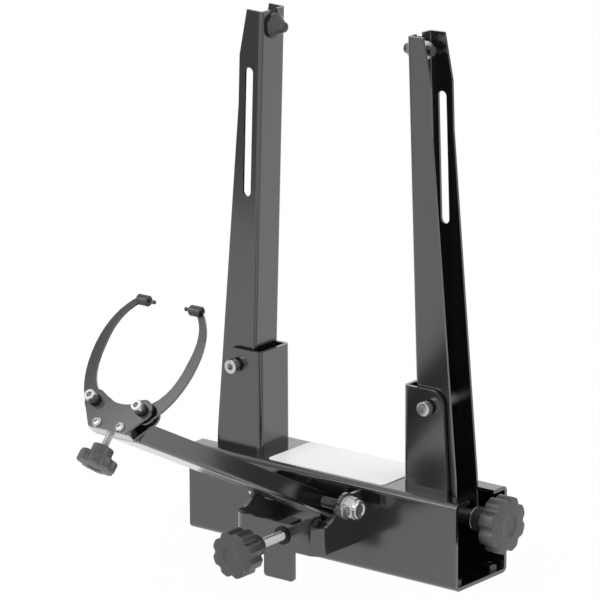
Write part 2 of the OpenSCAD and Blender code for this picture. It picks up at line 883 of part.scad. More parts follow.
module jaw_springs() {
    path = coil_path(jaw_spring_r, jaw_spring_turns, jaw_spring_pitch, jaw_spring_wire);
    echo(jaw_spring_gap = self_gap(path, jaw_spring_wire, 6));
    wound = jaw_spring_pitch * jaw_spring_turns;
    color(steel) at_calliper() for (side = ["left", "right"])
        translate([(side == "left" ? -1 : 1) * jaw_pivot_u, jaw_pivot_v,
            jaw_low(side) - clear - wound - jaw_spring_wire / 2])
            wire_tube(path, jaw_spring_wire / 2);
}

// The left jaw: a curved finger, a hub on its pivot and a tail towards the middle.
module jaw_outline() {
    u = -jaw_pivot_u;
    v = jaw_pivot_v;
    hub_r = pivot_lobe_r + 0.6;
    tip = feeler_v + 0.4;
    hub = arc([u, v], hub_r, -35, -165);
    difference() {
        polygon(concat(
            hub,
            curve(hub[8], [u - 18, v + 6], [u - 26, v + 24], [u - 26, v + 46]),
            curve([u - 26, v + 46], [u - 26, v + 66], [u - 19, v + 80], [-30.5, tip + 1]),
            [[-27.5, tip + 0.6], [-26, tip - 2]],
            curve([-26, tip - 2], [u - 15, v + 77], [u - 18.5, v + 64], [u - 17, v + 46]),
            curve([u - 17, v + 46], [u - 17, v + 25], [u - 9, v + 7], [u + 10, v + 3]),
            arc([u + tail_reach, tail_v], tail_r, 60, -90)
        ));
        translate([u, v]) circle(jaw_bolt_r + running);
    }
}

module jaw(side) {
    color(black) at_calliper() mirror([side == "left" ? 0 : 1, 0, 0])
        translate([0, 0, jaw_low(side)]) linear_extrude(jaw_t) jaw_outline();
}

module feeler(side) {
    slit = 0.1;
    color(steel) at_calliper() mirror([side == "left" ? 0 : 1, 0, 0])
        difference() {
            translate([0, feeler_v, jaw_low("left") - clear / 2]) union() {
                rod_x(-feeler_u, feeler_l - feeler_u, feeler_dia / 2);
                rod_x(feeler_l - feeler_u - 1, feeler_l - feeler_u + feeler_pin_l, feeler_pin_r);
            }
            translate([-feeler_u - 1, feeler_v - 10, jaw_low(side) - slit])
                cube([7, 20, jaw_t + 2 * slit]);
        }
}

module jaw_spreader() {
    color(steel) at_calliper() difference() {
        translate([-spreader_u, spreader_top - spreader_t, back_n + clear])
            cube([2 * spreader_u, spreader_t, front_n - back_n - 2 * clear]);
        rod_y(spreader_top - spreader_t - 1, spreader_top - 1, 1.5 + running);
    }
}

module calliper_screw() {
    shoulder = spreader_top - spreader_t - 0.1;
    color(steel) at_calliper() {
        rod_y(calliper_hub_v - 12, shoulder, calliper_screw_r);
        rod_y(shoulder - 1, spreader_top - 1.1, 1.5);
    }
}

module calliper_knob() {
    color(plastic) at_calliper() translate([0, calliper_hub_v, 0]) rotate([90, 0, 0])
        knob(calliper_knob_dia, calliper_knob_t, calliper_hub_l, 8.5, calliper_screw_r, 12);
}

base_tube();
top_plate();
support("left");  // support_left
support("right");  // support_right
upright("left");  // upright_left
upright("right");  // upright_right
pivot_bolts();
pivot_bushes();
pivot_nuts();
axle_cone("left");  // axle_cone_left
axle_cone("right");  // axle_cone_right
cone_nut("left");  // cone_nut_left
cone_nut("right");  // cone_nut_right
width_spindle();
spindle_collars();
spindle_sleeve();
spindle_washer();
width_knob();
spindle_bearing();
barrel_nut("left");  // barrel_nut_left
barrel_nut("right");  // barrel_nut_right
bench_nuts();
yoke();
screw_nut();
screw_washer();
arm_bolt();
arm_bolt_washers();
arm_bolt_nut();
arm();
arm_bush();
arm_spring();
screw_pad();
arm_screw();
arm_screw_knob();
calliper_front_plate();
calliper_back_plate();
calliper_block();
calliper_strip();
calliper_bolts();
jaw_bolts();
jaw_bolt_collars();
jaw_bolt_nuts();
jaw_spacers();
jaw_springs();
jaw("left");  // jaw_left
jaw("right");  // jaw_right
feeler("left");  // feeler_left
feeler("right");  // feeler_right
jaw_spreader();
calliper_screw();
calliper_knob();
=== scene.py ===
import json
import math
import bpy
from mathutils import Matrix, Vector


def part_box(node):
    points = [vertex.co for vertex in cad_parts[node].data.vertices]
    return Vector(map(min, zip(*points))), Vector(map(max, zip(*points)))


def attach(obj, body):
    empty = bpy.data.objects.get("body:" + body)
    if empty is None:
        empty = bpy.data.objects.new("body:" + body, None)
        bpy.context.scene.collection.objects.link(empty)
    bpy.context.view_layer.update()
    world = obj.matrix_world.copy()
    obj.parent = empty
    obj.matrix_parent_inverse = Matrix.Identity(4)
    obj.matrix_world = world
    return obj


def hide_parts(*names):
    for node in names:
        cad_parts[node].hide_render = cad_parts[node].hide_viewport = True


bl_info = {
    "name": "Wheel truing stand",
    "version": (1, 0, 0),
    "blender": (4, 5, 0),
    "location": "3D View > Sidebar > Truing stand",
    "description": "Finishes and fine pieces for a bench stand that trues bicycle wheels",
    "category": "Object",
}

import bpy
from mathutils import Euler, Vector

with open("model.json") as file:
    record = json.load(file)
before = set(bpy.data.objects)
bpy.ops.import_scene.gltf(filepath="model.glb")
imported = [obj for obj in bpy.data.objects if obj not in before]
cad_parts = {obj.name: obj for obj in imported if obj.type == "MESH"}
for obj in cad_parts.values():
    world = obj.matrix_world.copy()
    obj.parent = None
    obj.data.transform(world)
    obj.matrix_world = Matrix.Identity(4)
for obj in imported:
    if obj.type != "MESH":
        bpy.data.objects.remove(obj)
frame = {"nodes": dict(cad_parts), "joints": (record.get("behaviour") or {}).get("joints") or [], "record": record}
NODES = frame["nodes"]
JOINTS = {joint["name"]: joint for joint in frame["joints"]}
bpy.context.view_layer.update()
SLOT_OF = {part["node"]: part["material_slot"] for part in frame["record"]["subparts"]}
PAINTED_SLOTS = ("black_paint", "white_film")
FINISHES = {}
MM = 0.001


# ---------------------------------------------------------------- settings


class StandKnobs(bpy.types.PropertyGroup):
    """Sizes of the three hand knobs."""

    lobes: bpy.props.IntProperty(
        name="Lobes", description="Number of lobes round the rim", default=8, min=5, max=12
    )
    valley: bpy.props.FloatProperty(
        name="Valley depth", description="Depth of a valley as a share of the rim's radius",
        default=0.125, min=0.04, max=0.2, subtype="FACTOR",
    )
    valley_angle: bpy.props.FloatProperty(
        name="Valley width", description="Angle that half a valley takes",
        default=math.radians(15.2), min=math.radians(8), max=math.radians(20), subtype="ANGLE",
    )
    dish: bpy.props.FloatProperty(
        name="Dish", description="Radius of the round recess in the face, as a share of the rim's",
        default=0.37, min=0.2, max=0.6, subtype="FACTOR",
    )
    crown: bpy.props.FloatProperty(
        name="Crown", description="How far the face rises above its edge, in metres",
        default=1.3 * MM, min=0.0, max=3 * MM, unit="LENGTH",
    )


class StandFinish(bpy.types.PropertyGroup):
    """Colours of the finishes."""

    paint: bpy.props.FloatVectorProperty(
        name="Paint", description="Black satin paint", subtype="COLOR", size=3,
        default=(0.007, 0.007, 0.0073), min=0.0, max=1.0,
    )
    plastic: bpy.props.FloatVectorProperty(
        name="Knobs", description="Moulded plastic of the knobs", subtype="COLOR", size=3,
        default=(0.031, 0.031, 0.032), min=0.0, max=1.0,
    )
    zinc: bpy.props.FloatVectorProperty(
        name="Zinc", description="Bright zinc plate of bolts and nuts", subtype="COLOR", size=3,
        default=(0.55, 0.55, 0.545), min=0.0, max=1.0,
    )
    steel: bpy.props.FloatVectorProperty(
        name="Steel", description="Plain turned steel", subtype="COLOR", size=3,
        default=(0.36, 0.36, 0.36), min=0.0, max=1.0,
    )
    blackened: bpy.props.FloatVectorProperty(
        name="Blackened steel", description="Oiled black steel of cones and feelers",
        subtype="COLOR", size=3, default=(0.085, 0.085, 0.085), min=0.0, max=1.0,
    )
    plate: bpy.props.FloatVectorProperty(
        name="Bare plate", description="White plate on the base", subtype="COLOR", size=3,
        default=(0.96, 0.96, 0.96), min=0.0, max=1.0,
    )


class StandView(bpy.types.PropertyGroup):
    """Camera and light."""

    place: bpy.props.FloatVectorProperty(
        name="Camera", description="Place of the camera", size=3, subtype="XYZ", unit="LENGTH",
        default=(2.33926, -3.01880, 1.27342),
    )
    target: bpy.props.FloatVectorProperty(
        name="Target", description="Point that the camera looks at", size=3, subtype="XYZ",
        unit="LENGTH", default=(-0.04630, 0.0, 0.20066),
    )
    roll: bpy.props.FloatProperty(
        name="Roll", description="Turn of the camera about its own line of sight", subtype="ANGLE",
        default=math.radians(-0.222),
    )
    lens: bpy.props.FloatProperty(
        name="Lens", description="Focal length in millimetres on a 36 mm sensor", default=299.2,
        min=20.0,
    )
    key: bpy.props.FloatProperty(
        name="Key light", description="Power of the large soft light at the front left",
        default=20.0, min=0.0, subtype="POWER",
    )
    room: bpy.props.FloatProperty(
        name="Room light", description="Level of the even light from all round", default=0.84,
        min=0.0,
    )


# ---------------------------------------------------------------- shader maths


class Signal:
    """A number that varies over a surface. Sums and products with it add Math nodes."""

    def __init__(self, finish, socket):
        self.finish = finish
        self.socket = socket

    def _math(self, operation, first, second):
        made = self.finish.node("ShaderNodeMath", {"operation": operation}, {0: first, 1: second})
        return Signal(self.finish, made.outputs[0])

    def __add__(self, other):
        return self._math("ADD", self, other)

    def __mul__(self, other):
        return self._math("MULTIPLY", self, other)

    def __rsub__(self, other):
        return self._math("SUBTRACT", other, self)

    def clamped(self):
        return self._math("MINIMUM", self._math("MAXIMUM", self, 0.0), 1.0)


class Finish:
    """One finish: a material with its Principled shader. One method adds any other node."""

    def __init__(self, name, **constants):
        self.material = bpy.data.materials.new(name)
        self.material.use_nodes = True
        self.tree = self.material.node_tree
        self.shader = self.tree.nodes["Principled BSDF"]
        for socket, value in constants.items():
            self.shader.inputs[socket.replace("_", " ")].default_value = value

    def node(self, kind, settings=None, sockets=None):
        """Adds a node: its settings are set first, then its sockets' values or links."""
        made = self.tree.nodes.new(kind)
        for name, value in (settings or {}).items():
            setattr(made, name, value)
        for name, value in (sockets or {}).items():
            self.feed(made.inputs[name], value)
        return made

    def feed(self, socket, value):
        """Gives a socket a number, a colour, a Signal or another node's socket."""
        source = value.socket if isinstance(value, Signal) else value
        if isinstance(source, bpy.types.NodeSocket):
            self.tree.links.new(source, socket)
        else:
            socket.default_value = source

    def noise(self, scale, detail=2.0, roughness=0.5):
        """Noise from 0 to 1 in the piece's own coordinates; scale is in features per metre."""
        where = self.node("ShaderNodeTexCoord").outputs["Object"]
        made = self.node(
            "ShaderNodeTexNoise", {},
            {"Vector": where, "Scale": scale, "Detail": detail, "Roughness": roughness},
        )
        return Signal(self, made.outputs["Fac"])

    def edges(self, radius, gain):
        """1 at the outer edges of the piece and 0 on its faces."""
        bent = self.node("ShaderNodeBevel", {"samples": 4}, {"Radius": radius})
        true = self.node("ShaderNodeNewGeometry")
        dot = self.node(
            "ShaderNodeVectorMath", {"operation": "DOT_PRODUCT"},
            {0: bent.outputs[0], 1: true.outputs["Normal"]},
        )
        return ((1.0 - Signal(self, dot.outputs["Value"])) * gain).clamped()

    def blend_colours(self, factor, low, high):
        """Low where the factor is 0 and high where it is 1."""
        made = self.node("ShaderNodeMix", {"data_type": "RGBA"}, {"Factor": factor})
        self.feed(made.inputs[6], low)
        self.feed(made.inputs[7], high)
        return made.outputs[2]

    def surface(self, colour, roughness, height=None, strength=0.1, distance=0.2 * MM, bevel=None):
        """Links what varies over the surface into the shader: its colour, its roughness, its fine
        relief with its strength and depth, and its edges, which the bevel's radius rounds."""
        self.feed(self.shader.inputs["Base Color"], colour)
        self.feed(self.shader.inputs["Roughness"], roughness)
        normal = None
        if bevel is not None:
            normal = self.node("ShaderNodeBevel", {"samples": 4}, {"Radius": bevel}).outputs[0]
        if height is not None:
            bump = self.node(
                "ShaderNodeBump", {}, {"Height": height, "Strength": strength, "Distance": distance}
            )
            if normal is not None:
                self.feed(bump.inputs["Normal"], normal)
            normal = bump.outputs[0]
        if normal is not None:
            self.feed(self.shader.inputs["Normal"], normal)
        return self.material


def shade(colour, factor):
    """A colour property as four numbers, made lighter or darker."""
    return tuple(min(1.0, channel * factor) for channel in colour) + (1.0,)


# ---------------------------------------------------------------- finishes


def satin_black_paint(colours):
    """Sprayed satin paint: faint orange peel, and outer edges made paler, partly paint worn thin and partly a
    painted highlight.
    """
    paint = Finish(
        "satin_black_paint", IOR=1.5, Specular_IOR_Level=1.0, Coat_Roughness=0.14, Coat_Weight=0.7
    )
    cloud = paint.noise(22.0, detail=3.0)
    peel = paint.noise(900.0, detail=2.0)
    edge = paint.edges(radius=0.7 * MM, gain=5.0)
    body = paint.blend_colours(cloud, shade(colours.paint, 0.9), shade(colours.paint, 1.12))
    # Paler outer edges: partly paint worn thin, partly a painted highlight along every edge.
    colour = paint.blend_colours(edge * 0.6, body, shade(colours.paint, 6.0))
    roughness = cloud * 0.05 + 0.17
    return paint.surface(colour, roughness, peel, strength=0.12, distance=0.08 * MM, bevel=0.5 * MM)


def moulded_plastic(colours):
    """Matte moulded plastic with a fine spark-eroded grain, and a painted highlight on its edges."""
    plastic = Finish("moulded_plastic", IOR=1.5, Specular_IOR_Level=0.9)
    grain = plastic.noise(2600.0, detail=2.0, roughness=0.6)
    cloud = plastic.noise(60.0, detail=3.0)
    edge = plastic.edges(radius=0.6 * MM, gain=4.0)
    body = plastic.blend_colours(cloud, shade(colours.plastic, 0.9), shade(colours.plastic, 1.1))
    # Lighter edges: a painted highlight along every edge of the knobs.
    colour = plastic.blend_colours(edge * 0.5, body, shade(colours.plastic, 1.7))
    roughness = grain * 0.08 + 0.36
    return plastic.surface(colour, roughness, grain, strength=0.22, distance=0.06 * MM)


def bright_zinc(colours):
    """Bright zinc plate, with a soft cloudiness and fine drawing marks."""
    zinc = Finish("bright_zinc", Metallic=1.0)
    cloud = zinc.noise(260.0, detail=3.0)
    fine = zinc.noise(1800.0, detail=2.0)
    colour = zinc.blend_colours(cloud, shade(colours.zinc, 0.88), shade(colours.zinc, 1.12))
    roughness = cloud * 0.12 + 0.16
    return zinc.surface(
        colour, roughness, fine, strength=0.12, distance=0.05 * MM, bevel=0.25 * MM
    )


def turned_steel(name, colour, least_roughness):
    """Steel as it comes from the lathe."""
    steel = Finish(name, Metallic=1.0)
    cloud = steel.noise(240.0, detail=3.0)
    fine = steel.noise(1500.0, detail=2.0)
    tone = steel.blend_colours(cloud, shade(colour, 0.8), shade(colour, 1.2))
    roughness = cloud * 0.15 + least_roughness
    return steel.surface(tone, roughness, fine, strength=0.15, distance=0.05 * MM, bevel=0.25 * MM)


def white_plate(colours):
    """The bare plate on the base: smooth white film."""
    film = Finish("white_plate", IOR=1.46, Specular_IOR_Level=0.3)
    cloud = film.noise(45.0, detail=2.0)
    colour = film.blend_colours(cloud, shade(colours.plate, 0.985), shade(colours.plate, 1.015))
    return film.surface(colour, cloud * 0.06 + 0.3)


def black_nylon(colours):
    """Washers and collars of black nylon."""
    nylon = Finish("black_nylon", IOR=1.5, Specular_IOR_Level=0.4)
    grain = nylon.noise(1200.0, detail=2.0)
    colour = nylon.blend_colours(grain, shade(colours.paint, 0.35), shade(colours.paint, 0.55))
    roughness = grain * 0.1 + 0.42
    return nylon.surface(colour, roughness, grain, strength=0.1, distance=0.05 * MM)


def finish_of(slot):
    """The material of a slot of the record, made at its first use."""
    colours = bpy.context.scene.stand_finish
    makers = {
        "black_paint": lambda: satin_black_paint(colours),
        "white_film": lambda: white_plate(colours),
        "zinc": lambda: bright_zinc(colours),
        "grey_steel": lambda: turned_steel("turned_steel", colours.steel, 0.34),
        "dark_steel": lambda: turned_steel("blackened_steel_and_shaded_zinc", colours.blackened, 0.26),
        "knob_plastic": lambda: moulded_plastic(colours),
        "nylon": lambda: black_nylon(colours),
    }
    if slot not in FINISHES:
        FINISHES[slot] = makers[slot]()
    return FINISHES[slot]


def coat(names):
    """Gives CAD nodes the finish of their own slots."""
    for name in names:
        for slot in NODES[name].material_slots:
            slot.material = finish_of(SLOT_OF[name])


# ---------------------------------------------------------------- turned shapes, in millimetres


def lathe_axes(axis):
    """An axis's direction and two directions square to it."""
    along = Vector(axis).normalized()
    helper = Vector((0, 0, 1)) if abs(along.z) < 0.9 else Vector((1, 0, 0))
    side = along.cross(helper).normalized()
    return along, side, along.cross(side)


def turned(origin, axis, stations, segments=96):
    """The points and faces of a closed shape round an axis, whose ends close on the axis. A station
    is its distance along the axis and its radius, which is a number or a function of the angle."""
    along, side, up = lathe_axes(axis)
    origin = Vector(origin)
    points = [origin + along * stations[0][0] * MM]
    for place, radius in stations:
        for step in range(segments):
            angle = 2 * math.pi * step / segments
            reach = radius(angle) if callable(radius) else radius
            turn = side * math.cos(angle) + up * math.sin(angle)
            points.append(origin + along * place * MM + turn * reach * MM)
    points.append(origin + along * stations[-1][0] * MM)
    faces = []
    for row in range(len(stations) - 1):
        for step in range(segments):
            after = (step + 1) % segments
            low, high = 1 + row * segments, 1 + (row + 1) * segments
            faces.append((low + step, low + after, high + after, high + step))
    last = len(points) - 1
    top = 1 + (len(stations) - 1) * segments
    for step in range(segments):
        after = (step + 1) % segments
        faces.append((0, 1 + after, 1 + step))
        faces.append((last, top + step, top + after))
    return points, faces


def new_piece(name, shapes, sharp=32.0):
    """One smooth-shaded object from several shapes, with edges sharp above an angle in degrees."""
    points, faces = [], []
    for more_points, more_faces in shapes:
        start = len(points)
        points += more_points
        faces += [tuple(start + corner for corner in face) for face in more_faces]
    mesh = bpy.data.meshes.new(name)
    mesh.from_pydata([tuple(point) for point in points], [], faces)
    mesh.validate()
    mesh.shade_smooth()
    mesh.set_sharp_from_angle(angle=math.radians(sharp))
    piece = bpy.data.objects.new(name, mesh)
    bpy.context.scene.collection.objects.link(piece)
    return piece


def stand_for(piece, node, body, slot=None):
    """Puts a finer piece in the place of a CAD node, in the node's slot unless another is given."""
    slot = slot or SLOT_OF[node]
    piece.data.materials.append(finish_of(slot))
    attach(piece, body)
    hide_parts(node)


def joint_line(name):
    """A joint's place and the direction of its axis."""
    return Vector(JOINTS[name]["pos_m"]), Vector(JOINTS[name]["axis"]).normalized()


def node_reach(node, on_axis, axis):
    """The largest distance of a node's points from an axis."""
    reach = 0.0
    for vertex in NODES[node].data.vertices:
        off = vertex.co - on_axis
        reach = max(reach, (off - axis * off.dot(axis)).length)
    return reach / MM


def node_start(node, on_axis, axis):
    """The point on an axis where a node begins."""
    least = min((vertex.co - on_axis).dot(axis) for vertex in NODES[node].data.vertices)
    return on_axis + axis * least


def node_length(node, axis):
    """The length of a node along an axis."""
    places = [vertex.co.dot(axis) for vertex in NODES[node].data.vertices]
    return (max(places) - min(places)) / MM


def hexagon(across, limit):
    """The radius of a hexagon by its width across flats, no larger than a round limit."""
    sector = math.pi / 3

    def radius(angle):
        off = (angle + sector / 2) % sector - sector / 2
        return min(limit, across / 2 / math.cos(off))

    return radius


# ---------------------------------------------------------------- knobs


def lobed(radius, settings, share=1.0):
    """The radius of a lobed rim; the valleys fade as share goes from 1 to 0."""
    pitch = 2 * math.pi / settings.lobes

    def at(angle):
        off = abs((angle + pitch / 2) % pitch - pitch / 2)
        if off >= settings.valley_angle:
            return radius
        dip = 0.5 + 0.5 * math.cos(math.pi * off / settings.valley_angle)
        return radius * (1 - share * settings.valley * dip)

    return at


def knob(name, hub_end, axis, rim, hub, hub_length, length, settings):
    """A lobed hand knob: a round hub, lobes with rounded edges, a crowned face and its dish."""
    edge = 1.0
    lip = 0.6
    dish = settings.dish * rim
    dish_depth = 0.8
    crown = min(settings.crown / MM, 0.12 * (length - hub_length))
    shoulder = length - crown
    rows = [
        (0.0, hub - 0.6),
        (0.15, hub - 0.2),
        (0.6, hub),
        (hub_length - 0.5, hub),
        (hub_length - 0.1, hub + 0.2),
        (hub_length, hub + 0.7),
        (hub_length, lobed(rim - 1.6 * edge, settings, 0.9)),
        (hub_length + 0.15 * edge, lobed(rim - 0.8 * edge, settings)),
        (hub_length + 0.5 * edge, lobed(rim - 0.25 * edge, settings)),
        (hub_length + edge, lobed(rim, settings)),
        (shoulder - edge, lobed(rim, settings)),
    ]
    for step in range(1, 5):
        turn = step / 4 * math.pi / 2
        radius = rim - edge * (1 - math.cos(turn))
        rows.append((shoulder - edge + edge * math.sin(turn), lobed(radius, settings)))
    inner = rim * (1 - settings.valley) - 1.5 * edge
    for step in range(6):
        share = 1 - step / 5
        radius = dish + lip + (inner - dish - lip) * share
        lift = (1 - (radius / rim) ** 2) / (1 - (dish / rim) ** 2)
        rows.append((shoulder + crown * lift, lobed(radius, settings, 0.25 * share)))
    rim_top = rows[-1][0]
    rows += [
        (rim_top - 0.15, dish + 0.15),
        (rim_top - 0.7 * dish_depth, dish),
        (rim_top - dish_depth, dish - 0.35),
        (rim_top - dish_depth, dish * 0.5),
        (rim_top - dish_depth, 0.4),
    ]
    return new_piece(name, [turned(hub_end, axis, rows, settings.lobes * 24)], sharp=40.0)


class STAND_OT_knobs(bpy.types.Operator):
    """Make the three lobed knobs"""

    bl_idname = "stand.knobs"
    bl_label = "Knobs"

    def execute(self, context):
        settings = context.scene.stand_knobs
        # node, body, way along the body's axis, radius and length of the hub, whole length
        knobs = (
            ("width_knob", "spindle", 1, 10.0, 16.5, 31.5),
            ("arm_screw_knob", "arm_screw", -1, 8.5, 16.0, 34.7),
            ("calliper_knob", "calliper_screw", -1, 8.5, 8.0, 17.5),
        )
        for node, body, way, hub, hub_length, length in knobs:
            on_axis, axis = joint_line(body + "_turn")
            axis = axis * way
            start = node_start(node, on_axis, axis)
            rim = node_reach(node, on_axis, axis)
            piece = knob(node + "_moulded", start, axis, rim, hub, hub_length, length, settings)
            stand_for(piece, node, body)
        return {"FINISHED"}


# ---------------------------------------------------------------- screws


def thread(start, axis, length, radius, pitch, bare=()):
    """A threaded rod with chamfered ends; bare holds the stretches with no thread."""
    rows_a_turn = 6
    depth = 0.52 * pitch
    chamfer = 1.2 * depth
    rows = []
    count = int(round(length / pitch * rows_a_turn))
    for row in range(count + 1):
        place = length * row / count
        limit = radius - max(0.0, chamfer - min(place, length - place))
        plain = any(low <= place <= high for low, high in bare)

        def at(angle, place=place, limit=limit, plain=plain):
            phase = (place / pitch - angle / (2 * math.pi)) % 1.0
            groove = 0.0 if plain else depth * (1 - min(1.0, 2.6 * abs(phase - 0.5)))
            return min(limit, radius - groove)

        rows.append((place, at))
    return turned(start, axis, rows, segments=36)


class STAND_OT_screws(bpy.types.Operator):
    """Make the threaded screws of the arm and the calliper"""

    bl_idname = "stand.screws"
    bl_label = "Screws"

    def execute(self, context):
        # node, which is also its body's name, pitch, stretches with no thread from the knob's end
        screws = (
            ("arm_screw", 1.25, ((0, 20), (84, 98))),
            ("calliper_screw", 1.0, ((0, 9),)),
        )
        for node, pitch, bare in screws:
            on_axis, axis = joint_line(node + "_turn")
            start = node_start(node, on_axis, axis)
            radius = node_reach(node, on_axis, axis)
            rod = thread(start, axis, node_length(node, axis), radius, pitch, bare)
            stand_for(new_piece(node + "_threaded", [rod], sharp=60.0), node, node)
        return {"FINISHED"}


# ---------------------------------------------------------------- bolts, nuts and feelers


def socket_head(face, axis, radius, height, across, shank, length):
    """A round head with a hexagon socket in its face, and its shank. The height and the length are
    from the face."""
    edge = 0.5
    depth = 0.85 * height
    rows = [
        (depth, 0.2),
        (depth, hexagon(across, across)),
        (0.1, hexagon(across, across)),
        (0.0, hexagon(across + 0.3, across)),
        (0.0, radius - edge),
        (0.15 * edge, radius - 0.45 * edge),
        (0.45 * edge, radius - 0.12 * edge),
        (edge, radius),
        (height, radius),
        (height, shank),
        (length, shank),
    ]
    return turned(face, axis, rows)


def hexagon_nut(face, axis, across, height, bore, depth, limit=1.0):
    """A nut with chamfered corners and a round hole in its face. The limit cuts its corners to a
    share of a full hexagon's."""
    corner = across / math.sqrt(3) * limit
    rows = [
        (depth, 0.2),
        (depth, bore),
        (0.3, bore),
        (0.0, bore + 0.35),
        (0.0, across / 2 - 0.3),
        (0.12 * height, hexagon(across, corner * 0.95)),
        (0.24 * height, hexagon(across, corner)),
        (0.8 * height, hexagon(across, corner)),
        (0.92 * height, hexagon(across, corner * 0.96)),
        (height, hexagon(across, corner * 0.93)),
    ]
    return turned(face, axis, rows, segments=72)


class STAND_OT_pivot_bolts(bpy.types.Operator):
    """Make the socket bolts on which the uprights tilt"""

    bl_idname = "stand.pivot_bolts"
    bl_label = "Pivot bolts"

    def execute(self, context):
        head, head_height, socket, shank = 5.8, 5.5, 5.2, 3.95
        low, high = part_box("pivot_bolts")
        length = (high.y - low.y) / MM
        shapes = []
        for side in ("left", "right"):
            pivot, _ = joint_line(f"upright_{side}_tilt")
            face = (pivot.x, low.y, pivot.z)
            shapes.append(socket_head(face, (0, 1, 0), head, head_height, socket, shank, length))
        stand_for(new_piece("pivot_bolts_socketed", shapes), "pivot_bolts", "base")
        return {"FINISHED"}


class STAND_OT_spindle_end(bpy.types.Operator):
    """Make the sleeve and the washer beside the width knob"""

    bl_idname = "stand.spindle_end"
    bl_label = "Spindle end"

    def execute(self, context):
        wall, edge = 2.0, 0.5
        on_axis, axis = joint_line("spindle_turn")
        for node, slot in (("spindle_sleeve", "grey_steel"), ("spindle_washer", "zinc")):
            start = node_start(node, on_axis, axis)
            radius = node_reach(node, on_axis, axis)
            length = node_length(node, axis)
            rows = [
                (0.0, radius - wall),
                (0.0, radius - edge),
                (edge, radius),
                (length - edge, radius),
                (length, radius - edge),
                (length, radius - wall),
            ]
            piece = new_piece(node + "_turned", [turned(start, axis, rows, segments=64)])
            stand_for(piece, node, "spindle", slot)
        return {"FINISHED"}


class STAND_OT_bench_nuts(bpy.types.Operator):
    """Make the weld nuts in the base, over the bench screws' holes"""

    bl_idname = "stand.bench_nuts"
    bl_label = "Bench nuts"

    def execute(self, context):
        across, bore, depth = 10.0, 3.1, 3.5
        low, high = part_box("bench_nuts")
        flat = across / 2 * MM
        corner = across / math.sqrt(3) * MM
        shapes = []
        for x in (low.x + corner, high.x - corner):
            for y in (low.y + flat, high.y - flat):
                height = (high.z - low.z) / MM
                shapes.append(hexagon_nut((x, y, high.z), (0, 0, -1), across, height, bore, depth))
        piece = new_piece("bench_nuts_chamfered", shapes)
        # Painted shade: the weld nuts are zinc but take the darker blackened steel, so that they look dim.
        stand_for(piece, "bench_nuts", "base", "dark_steel")
        return {"FINISHED"}


class STAND_OT_jaw_bolts(bpy.types.Operator):
    """Make the two bolts on which the jaws swing, and their collars and nuts"""

    bl_idname = "stand.jaw_bolts"
    bl_label = "Jaw bolts"

    def execute(self, context):
        head, head_height, shank = 10.0, 4.0, 3.0
        nut, nut_height, bore, depth = 8.6, 6.4, 2.0, 3.4
        recess = 4.0
        bolts, nuts, collars = [], [], []
        for side in ("left", "right"):
            on_axis, front = joint_line(f"jaw_{side}_swing")
            if front.y > 0:
                front = -front
            back = node_start("jaw_bolts", on_axis, front)
            seat = node_start("jaw_bolt_collars", on_axis, front)
            top = node_start("jaw_bolt_nuts", on_axis, front)
            face = top + front * nut_height * MM
            nuts.append(hexagon_nut(face, -front, nut, nut_height, bore, depth, limit=0.97))
            bolt_rows = [
                (0.0, 3.9),
                (0.7, hexagon(head, 5.4)),
                (1.4, hexagon(head, 5.7)),
                (head_height, hexagon(head, 5.7)),
                (head_height, shank),
                ((face - back).dot(front) / MM - recess, shank),
            ]
            bolts.append(turned(back, front, bolt_rows, segments=72))
            height = (top - seat).dot(front) / MM
            collar_rows = [
                (0.0, shank),
                (0.0, 5.0),
                (0.6 * height, 5.0),
                (0.9 * height, 4.6),
                (height, 4.2),
            ]
            collars.append(turned(seat, front, collar_rows, segments=64))
        stand_for(new_piece("jaw_bolts_headed", bolts), "jaw_bolts", "arm")
        stand_for(new_piece("jaw_collars_turned", collars), "jaw_bolt_collars", "arm")
        stand_for(new_piece("jaw_nuts_chamfered", nuts), "jaw_bolt_nuts", "arm")
        return {"FINISHED"}


class STAND_OT_arm_bolt(bpy.types.Operator):
    """Make the bolt through the yoke's ears, and its nut"""

    bl_idname = "stand.arm_bolt"
    bl_label = "Arm bolt"

    def execute(self, context):
        across, corner, head_height, shank = 17.0, 9.7, 6.4, 5.0
        pivot, axis = joint_line("arm_tilt")
        low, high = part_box("arm_bolt")
        head = Vector((low.x, pivot.y, pivot.z))
        head_rows = [
            (0.0, 7.2),
            (0.8, hexagon(across, 9.1)),
            (1.6, hexagon(across, corner)),
            (head_height, hexagon(across, corner)),
            (head_height, shank),
            (12.0, shank),
        ]
        piece = new_piece("arm_bolt_head", [turned(head, axis, head_rows, segments=72)])
        stand_for(piece, "arm_bolt", "base")
        # The thread starts inside the head's shank and ends just short of the node's end.
        start = head + axis * 8.0 * MM
        rod = thread(start, axis, (high.x - start.x) / MM - 0.6, 4.5, 1.5)
        piece = new_piece("arm_bolt_shank", [rod], sharp=60.0)
        stand_for(piece, "arm_bolt", "base", "dark_steel")
        nut_low, nut_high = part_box("arm_bolt_nut")
        height = (nut_high.x - nut_low.x) / MM
        nut_rows = [
            (1.0, 4.6),
            (0.0, 5.4),
            (0.0, 6.6),
            (0.6, 7.4),
            (3.4, 7.6),
            (3.9, hexagon(across, 8.9)),
            (4.8, hexagon(across, corner)),
            (height - 1.0, hexagon(across, corner)),
            (height, hexagon(across, 9.0)),
        ]
        face = (nut_high.x, pivot.y, pivot.z)
        piece = new_piece("arm_nut_flanged", [turned(face, -axis, nut_rows, segments=72)])
        stand_for(piece, "arm_bolt_nut", "base")
        return {"FINISHED"}


